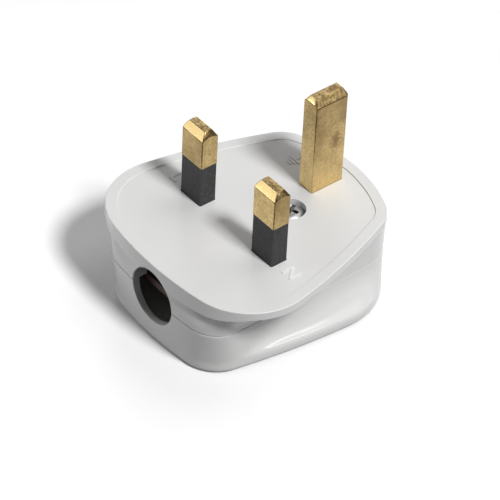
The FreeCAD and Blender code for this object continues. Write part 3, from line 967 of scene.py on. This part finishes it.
class MakePins(bpy.types.Operator):
    """Earth, neutral and live pins with broken edges"""

    bl_idname = "plug.make_pins"
    bl_label = "Pins"

    def execute(self, context):
        s = context.scene.plug_pins
        brass = drawn_brass(s.brass, s.tarnish)
        for node in ("earth_pin", "neutral_pin", "live_pin"):
            pin = self.pin(node, s.edge_round / MM)
            # Marks for painted shade: edge strips, the line pins' ends, and one side of each pin
            mark_faces(pin, "worn", lambda face: self.edge_and_end_shade(node, face))
            mark_faces(pin, "dull", lambda face: face.normal.dot(SHADED_SIDE[node]) > SHADED_FACING)
            mark_faces(pin, "machined", lambda face: (
                self.on_tip(face) and abs(face.normal.y) > MACHINED_FACING))
            mark_faces(pin, "cropped", lambda face: (
                self.on_tip(face) and abs(face.normal.y) < CROPPED_FACING))
            finish_piece(pin, brass, [node])
        return {"FINISHED"}

    def pin(self, node, edge):
        """Root of the CAD pin with a blade whose end is cropped to shape."""
        earth = node == "earth_pin"
        low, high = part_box(node)
        tip = EARTH_TIP if earth else LINE_TIP
        z0 = FACE_Z - EARTH_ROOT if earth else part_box(node + "_sleeve")[1].z / MM
        at = (0, EARTH_Y) if earth else (math.copysign(PIN_X, low.x), 0)
        blade = self.blade(tip, z0, high.z / MM - TIP_GAP, at, earth, edge)
        root = node_copy(node, node + "_brass")
        flatten_facets(root)
        join_by(root, loft("room", [box_ring(PIN_ROOM, z, at) for z in (0.0, z0)]), "INTERSECT")
        only(root)
        blade.select_set(True)
        bpy.ops.object.join()
        return root

    @staticmethod
    def blade(tip, z0, top, at, turned, edge):
        """Blade with sloped sides and arched ends, and narrow strips along its edges for the
        painted edge shade.
        """
        long, half = tip.size[0] / 2, tip.size[1] / 2
        slope = 2 * tip.side / (tip.size[1] - tip.top_size[1])
        end = []
        for k in range(TIP_COLUMNS):
            v = (half - PIN_ARRIS) * (2 * k / (TIP_COLUMNS - 1) - 1)
            arch = top - tip.end + tip.arch * (1 - (v / half) ** 2)
            end.append((long, v, min(arch, top - tip.side + (half - abs(v)) * slope)))
        corner = (long - PIN_ARRIS, half, top - tip.side)
        end = [(corner[0], -corner[1], corner[2])] + end + [corner]
        shoulder = [Vector(p) for p in end + [(-u, -v, z) for u, v, z in end]]
        shrink = [p / q for p, q in zip(tip.top_size, tip.size)]
        crown = [Vector((p.x * shrink[0], p.y * shrink[1], top)) for p in shoulder]
        down = Vector((0, 0, edge / 2))
        share = edge / 2 / tip.side
        rings = [
            [Vector((p.x, p.y, z0)) for p in shoulder],
            [p - down for p in shoulder],
            [p.lerp(q, share) for p, q in zip(shoulder, crown)],
            [p.lerp(q, 1 - share) for p, q in zip(shoulder, crown)],
            [Vector((p.x * (1 - share), p.y * (1 - share), p.z)) for p in crown],
        ]
        turn = Matrix.Rotation(math.pi / 2 if turned else 0.0, 3, "Z")
        place = Vector((at[0], at[1] + PIN_LINE_Y, 0))
        return loft("blade", [[(turn @ p + place) * MM for p in row] for row in rings])

    @staticmethod
    def on_tip(face):
        """Tells the slopes and the crown of a pin from its upright sides."""
        return face.normal.z > TIP_FACING

    def edge_and_end_shade(self, node, face):
        """Painted shade: dark edges, and the half dark ends of the line pins."""
        if is_narrow(face, STRIP_WIDTH):
            return face.normal.z < STRIP_FACING
        end = abs(face.normal.x) > END_FACING and self.on_tip(face)
        return END_SHADE * (node != "earth_pin" and end)


class MakeSleeves(bpy.types.Operator):
    """Black insulation round the roots of the neutral and live pins"""

    bl_idname = "plug.make_sleeves"
    bl_label = "Sleeves"

    def execute(self, context):
        s = context.scene.plug_pins
        black = sleeve_black(s.sleeve)
        for node in ("neutral_pin_sleeve", "live_pin_sleeve"):
            sleeve = node_copy(node, node + "_moulded")
            flatten_facets(sleeve)
            bevel_edges(sleeve, self.outer_edge(node), SLEEVE_ROUND)
            mark_faces(sleeve, "worn", is_narrow)
            finish_piece(sleeve, black, [node])
        return {"FINISHED"}

    @staticmethod
    def outer_edge(node):
        """Test for the sharp edges on the outside of a sleeve."""
        low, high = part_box(node)

        def wanted(edge):
            sharp = len(edge.link_faces) == 2 and edge.calc_face_angle(0) > SHARP
            middle = (edge.verts[0].co + edge.verts[1].co) / 2
            near = min(middle.x - low.x, high.x - middle.x, middle.y - low.y, high.y - middle.y)
            return sharp and near < SLEEVE_EDGE * MM

        return wanted


class MakeCoverScrew(bpy.types.Operator):
    """Domed screw with a cross recess, sunk in the pin face"""

    bl_idname = "plug.make_cover_screw"
    bl_label = "Cover screw"

    def execute(self, context):
        s = context.scene.plug_pins
        low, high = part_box("cover_screw")
        z0, z1 = low.z / MM, high.z / MM
        profile = [(POINT_R, z0), (CORE_R, z0 + THREAD_START)]
        z = z0 + THREAD_START
        while z < SCREW_SEAT_Z - SHANK:
            profile += [(THREAD_R, z + up) for up in THREAD_CREST]
            profile.append((CORE_R, z + THREAD_PITCH))
            z += THREAD_PITCH
        profile += [(CORE_R, SCREW_SEAT_Z), (SCREW_HEAD_R, SCREW_SEAT_Z)]
        dome = SCREW_SEAT_Z + HEAD_SIDE
        for k in range(DOME_RINGS):
            turn = math.pi / 2 * k / DOME_RINGS
            r = SCREW_HEAD_R * math.cos(turn * DOME_REACH) ** DOME_CURVE
            profile.append((r, dome + (z1 - dome) * math.sin(turn)))
        screw = loft("cover_screw_plated", [round_ring(r, z, SCREW_AT) for r, z in profile])
        for long, wide in ((0, 1), (1, 0)):
            wing = [box_ring((size[long], size[wide]), z1 + up, SCREW_AT) for size, up in RECESS]
            join_by(screw, loft("wing", wing), "DIFFERENCE")
        # The walls and floor of the cross recess are marked for painted shade
        mark_faces(screw, "recess", lambda face: self.in_recess(face, z1))
        turn_about(screw, SCREW_AT, SCREW_TURN)
        finish_piece(screw, zinc_plate(s.zinc, SCREW_AT), ["cover_screw"], smooth=40)
        return {"FINISHED"}

    @staticmethod
    def in_recess(face, top):
        """Tells the walls and the floor of the cross recess from the head round it."""
        centre = Vector((SCREW_AT[0], SCREW_AT[1] + PIN_LINE_Y, top))
        place = face.calc_center_median() / MM - centre
        near = place.xy.length < RECESS_R and place.z > -RECESS_DEPTH
        return near and (abs(face.normal.z) < RECESS_FACING or place.z < -RECESS_FLOOR)


def turn_about(piece, at, angle):
    """Turns a piece about an upright axis."""
    centre = Vector((at[0], at[1] + PIN_LINE_Y, 0)) * MM
    turn = Matrix.Translation(centre) @ Matrix.Rotation(angle, 4, "Z") @ Matrix.Translation(-centre)
    piece.data.transform(turn)


class DressInnerPieces(bpy.types.Operator):
    """Finishes of the CAD pieces that stay inside the housing"""

    bl_idname = "plug.dress_inner_pieces"
    bl_label = "Inner pieces"

    def execute(self, context):
        finishes = {
            "brass": plain_metal("turned_brass", (0.72, 0.55, 0.28), 0.34),
            "steel": plain_metal("plated_steel", (0.62, 0.63, 0.62), 0.3),
            "spring": plain_metal("sprung_bronze", (0.66, 0.45, 0.26), 0.3),
            "fuse_cap": plain_metal("nickel_cap", (0.72, 0.71, 0.68), 0.22),
            # Brown fibre, made very dark as painted shade for the inside of the cord entry
            "fibre": brown_fibre((0.045, 0.021, 0.016)),
            "ceramic": glazed_ceramic((0.82, 0.80, 0.75)),
        }
        slots = {row["node"]: row["material_slot"] for row in frame["record"]["subparts"]}
        for name, node in frame["nodes"].items():
            if not node.hide_render:
                node.data.materials.clear()
                node.data.materials.append(finishes[slots[name]])
        return {"FINISHED"}


class SetStage(bpy.types.Operator):
    """Pale floor, soft studio light and the camera"""

    bl_idname = "plug.set_stage"
    bl_label = "Stage"

    def execute(self, context):
        s = context.scene.plug_stage
        bpy.ops.object.select_all(action="DESELECT")
        bpy.ops.mesh.primitive_plane_add(size=FLOOR_SIZE, location=(0, 0, 0))
        floor = context.object
        floor.name = "floor"
        floor.data.materials.append(paper_floor(s.floor))
        floor.visible_diffuse = False
        world = bpy.data.worlds.new("surround")
        world.use_nodes = True
        background = world.node_tree.nodes["Background"]
        background.inputs["Color"].default_value = (1, 1, 1, 1)
        background.inputs["Strength"].default_value = s.sky
        context.scene.world = world
        for lamp in LAMPS:
            self.soft_light(lamp, getattr(s, lamp.power))
        self.camera(context)
        context.scene.view_settings.view_transform = "Standard"
        context.scene.view_settings.look = "None"
        return {"FINISHED"}

    @staticmethod
    def soft_light(lamp, power):
        """Round or oval lamp that points at the plug."""
        bpy.ops.object.light_add(type="AREA", location=lamp.place)
        light = bpy.context.object
        light.name = lamp.name
        light.data.shape = "ELLIPSE"
        light.data.size = lamp.width
        light.data.size_y = lamp.height
        light.data.energy = power
        aim = Vector(LIGHT_AIM) - Vector(lamp.place)
        light.rotation_euler = aim.to_track_quat("-Z", "Y").to_euler()

    @staticmethod
    def camera(context):
        """Long lens from the cord end's right, rolled a little as the picture is."""
        azimuth, elevation, roll = [math.radians(v) for v in CAMERA_TURN]
        back = Vector((math.sin(azimuth) * math.cos(elevation),
                       -math.cos(azimuth) * math.cos(elevation), math.sin(elevation)))
        right = Vector((math.cos(azimuth), math.sin(azimuth), 0))
        up = back.cross(right)
        x_axis = right * math.cos(roll) + up * math.sin(roll)
        y_axis = up * math.cos(roll) - right * math.sin(roll)
        place = Vector(CAMERA_AIM) + (back * CAMERA_DISTANCE - x_axis * CAMERA_OFFSET[0]
                                      - y_axis * CAMERA_OFFSET[1])
        bpy.ops.object.camera_add()
        camera = context.object
        camera.name = "camera"
        turn = Matrix((x_axis, y_axis, back)).transposed().to_4x4()
        camera.matrix_world = Matrix.Translation(place * MM) @ turn
        camera.data.sensor_width = CAMERA_SENSOR
        camera.data.lens = CAMERA_LENS
        camera.data.clip_start = CAMERA_NEAR
        context.scene.camera = camera


class PlugPanel(bpy.types.Panel):
    """Steps and settings of the plug"""

    bl_idname = "VIEW3D_PT_plug"
    bl_label = "Three pin plug"
    bl_space_type = "VIEW_3D"
    bl_region_type = "UI"
    bl_category = "Plug"

    def draw(self, context):
        layout = self.layout
        for step in STEPS:
            layout.operator(step.bl_idname)
        for group in GROUPS:
            settings = getattr(context.scene, group)
            for name in settings.bl_rna.properties.keys():
                if name not in ("rna_type", "name"):
                    layout.prop(settings, name)


STEPS = (
    MakeBase, MakeCover, MakeFaceSigns, MakePins,
    MakeSleeves, MakeCoverScrew, DressInnerPieces, SetStage,
)
GROUPS = {"plug_housing": HousingSettings, "plug_pins": PinSettings, "plug_stage": StageSettings}


def register():
    for cls in (*GROUPS.values(), *STEPS, PlugPanel):
        bpy.utils.register_class(cls)
    for name, group in GROUPS.items():
        setattr(bpy.types.Scene, name, PointerProperty(type=group))


def unregister():
    for name in GROUPS:
        delattr(bpy.types.Scene, name)
    for cls in reversed((*GROUPS.values(), *STEPS, PlugPanel)):
        bpy.utils.unregister_class(cls)


def main():
    register()
    for step in STEPS:
        area, name = step.bl_idname.split(".")
        getattr(getattr(bpy.ops, area), name)()


if __name__ == "__main__":
    main()
